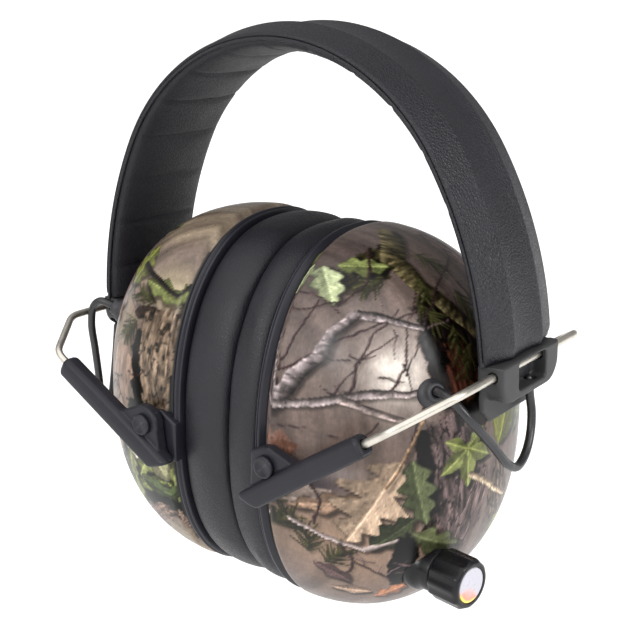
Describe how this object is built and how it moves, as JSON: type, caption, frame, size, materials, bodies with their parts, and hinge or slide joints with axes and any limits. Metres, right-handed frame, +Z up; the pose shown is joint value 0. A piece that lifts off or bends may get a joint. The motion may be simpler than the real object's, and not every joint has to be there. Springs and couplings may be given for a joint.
{
  "type": "earmuff hearing protector",
  "caption": "Folding electronic earmuff: padded headband, wire yokes in end caps, sliding arms, oval camouflage cups with ring cushions, volume knob and leads.",
  "frame": {"origin": "bottom centre of the bounding box, on the surface the two cups stand on", "axes": "+Z up from the cups to the headband, +X towards the cup with the volume knob, -Y the front with the leads"},
  "size_m": [0.1458, 0.1012, 0.167],
  "materials": {
    "leatherette": "fine grained black leatherette with a soft sheen",
    "padding": "quilted dark padding",
    "cushion_skin": "smooth black cushion skin",
    "black_plastic": "moulded, satin",
    "ring_plastic": "moulded, satin",
    "nickel_wire": "warm nickel-plated wire",
    "camouflage_shell": "glossy plastic with a woodland print",
    "steel": "plain",
    "foam": "open-cell foam",
    "rubber": "satin",
    "knob_black": "smooth, satin",
    "silver_disc": "satin disc with a coloured sector",
    "board": "solder mask",
    "cell_skin": "plain sleeve"
  },
  "bodies": {
    "headband": {"headband_cover": "leatherette", "spring_strip": "steel", "headband_pad": "padding", "end_cap_right": "black_plastic", "end_cap_left": "black_plastic"},
    "yoke_right": {"wire_yoke_right": "nickel_wire"},
    "yoke_left": {"wire_yoke_left": "nickel_wire"},
    "arms_right": {"arm_front_right": "black_plastic", "arm_rear_right": "black_plastic"},
    "arms_left": {"arm_front_left": "black_plastic", "arm_rear_left": "black_plastic"},
    "cup_right": {"cup_shell_right": "camouflage_shell", "base_ring_right": "ring_plastic", "cushion_right": "cushion_skin", "ring_screw_right_1": "steel", "ring_screw_right_2": "steel", "ring_screw_right_3": "steel", "ring_screw_right_4": "steel", "pivot_pin_front_right": "black_plastic", "pivot_pin_rear_right": "black_plastic", "ear_foam_right": "foam", "speaker_right": "rubber", "lead_gland_right": "rubber", "lead_right": "rubber", "knob_collar": "knob_black", "potentiometer": "steel", "circuit_board": "board"},
    "cup_left": {"cup_shell_left": "camouflage_shell", "base_ring_left": "ring_plastic", "cushion_left": "cushion_skin", "ring_screw_left_1": "steel", "ring_screw_left_2": "steel", "ring_screw_left_3": "steel", "ring_screw_left_4": "steel", "pivot_pin_front_left": "black_plastic", "pivot_pin_rear_left": "black_plastic", "ear_foam_left": "foam", "speaker_left": "rubber", "lead_gland_left": "rubber", "lead_left": "rubber", "battery_tray": "black_plastic", "battery_1": "cell_skin", "battery_2": "cell_skin"},
    "knob": {"volume_knob": "knob_black", "knob_disc": "silver_disc"},
    "battery_door": {"battery_door": "camouflage_shell"}
  },
  "joints": [
    {"name": "swing_right", "type": "hinge", "parent": "headband", "child": "yoke_right", "pos_m": [0.06984, 0, 0.08282], "axis": [0, -1, 0], "range_deg": [0, 45], "deforming": ["lead_right"]},
    {"name": "slide_right", "type": "slide", "parent": "yoke_right", "child": "arms_right", "axis": [-0.8116, 0, -0.5842], "range_m": [0, 0.0222], "deforming": ["lead_right"]},
    {"name": "tilt_right", "type": "hinge", "parent": "arms_right", "child": "cup_right", "pos_m": [0.02217, 0, 0.0559], "axis": [0, -1, 0], "range_deg": [-46, 0], "deforming": ["lead_right"]},
    {"name": "swing_left", "type": "hinge", "parent": "headband", "child": "yoke_left", "pos_m": [-0.07014, 0, 0.07499], "axis": [0, 1, 0], "range_deg": [0, 45], "deforming": ["lead_left"]},
    {"name": "slide_left", "type": "slide", "parent": "yoke_left", "child": "arms_left", "axis": [0.876, 0, -0.4824], "range_m": [0, 0.0222], "deforming": ["lead_left"]},
    {"name": "tilt_left", "type": "hinge", "parent": "arms_left", "child": "cup_left", "pos_m": [-0.02303, 0, 0.0559], "axis": [0, 1, 0], "range_deg": [-46, 0], "deforming": ["lead_left"]},
    {"name": "knob_turn", "type": "hinge", "parent": "cup_right", "child": "knob", "pos_m": [0.0554, -0.0173, 0.0248], "axis": [0.9887, -0.1478, 0.0244], "range_deg": [0, 280]},
    {"name": "door_hinge", "type": "hinge", "parent": "cup_left", "child": "battery_door", "pos_m": [-0.05543, 0, 0.0175], "axis": [0, -1, 0], "range_deg": [0, 100]}
  ],
  "couplings": [
    {"joint": "slide_right", "follows": "swing_right", "m_per_rad": 0.028},
    {"joint": "tilt_right", "follows": "swing_right", "ratio": -1},
    {"joint": "slide_left", "follows": "swing_left", "m_per_rad": 0.028},
    {"joint": "tilt_left", "follows": "swing_left", "ratio": -1}
  ]
}
